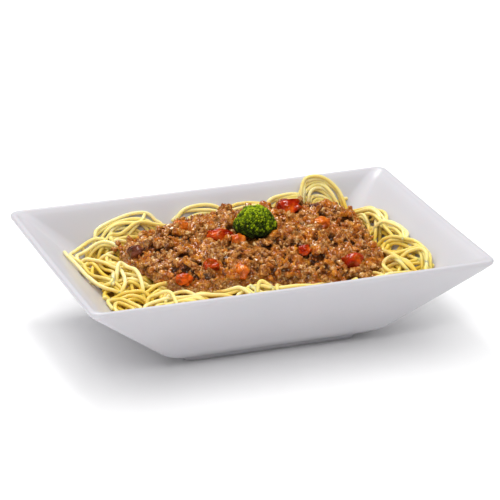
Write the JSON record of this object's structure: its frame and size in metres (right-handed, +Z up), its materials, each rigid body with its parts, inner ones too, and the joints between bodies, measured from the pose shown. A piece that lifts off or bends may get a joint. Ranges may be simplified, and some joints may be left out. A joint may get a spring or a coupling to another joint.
{
  "type": "plate of spaghetti bolognese",
  "caption": "Deep rectangular white porcelain dish with flared walls, filled with spaghetti under a mound of meat and vegetable sauce, topped with a broccoli floret.",
  "frame": {"origin": "centre of the foot, on the surface that the dish stands on", "axes": "+X along the dish's long side, +Y to its far long side, +Z up"},
  "size_m": [0.28, 0.2, 0.08],
  "materials": {
    "porcelain": "smooth white glaze",
    "pasta": "moist, slightly glossy cooked pasta",
    "sauce": "moist, oily minced meat in tomato sauce",
    "tomato": "wet, glossy",
    "carrot": "wet, satin",
    "mushroom": "wet, dark",
    "broccoli": "matte, granular buds"
  },
  "bodies": {
    "root": {"dish": "porcelain", "spaghetti": "pasta", "meat_sauce": "sauce", "broccoli_floret": "broccoli", "tomato_1": "tomato", "tomato_2": "tomato", "tomato_3": "tomato", "tomato_4": "tomato", "tomato_5": "tomato", "tomato_6": "tomato", "carrot_1": "carrot", "carrot_2": "carrot", "carrot_3": "carrot", "carrot_4": "carrot", "mushroom_1": "mushroom", "mushroom_2": "mushroom"}
  },
  "joints": []
}
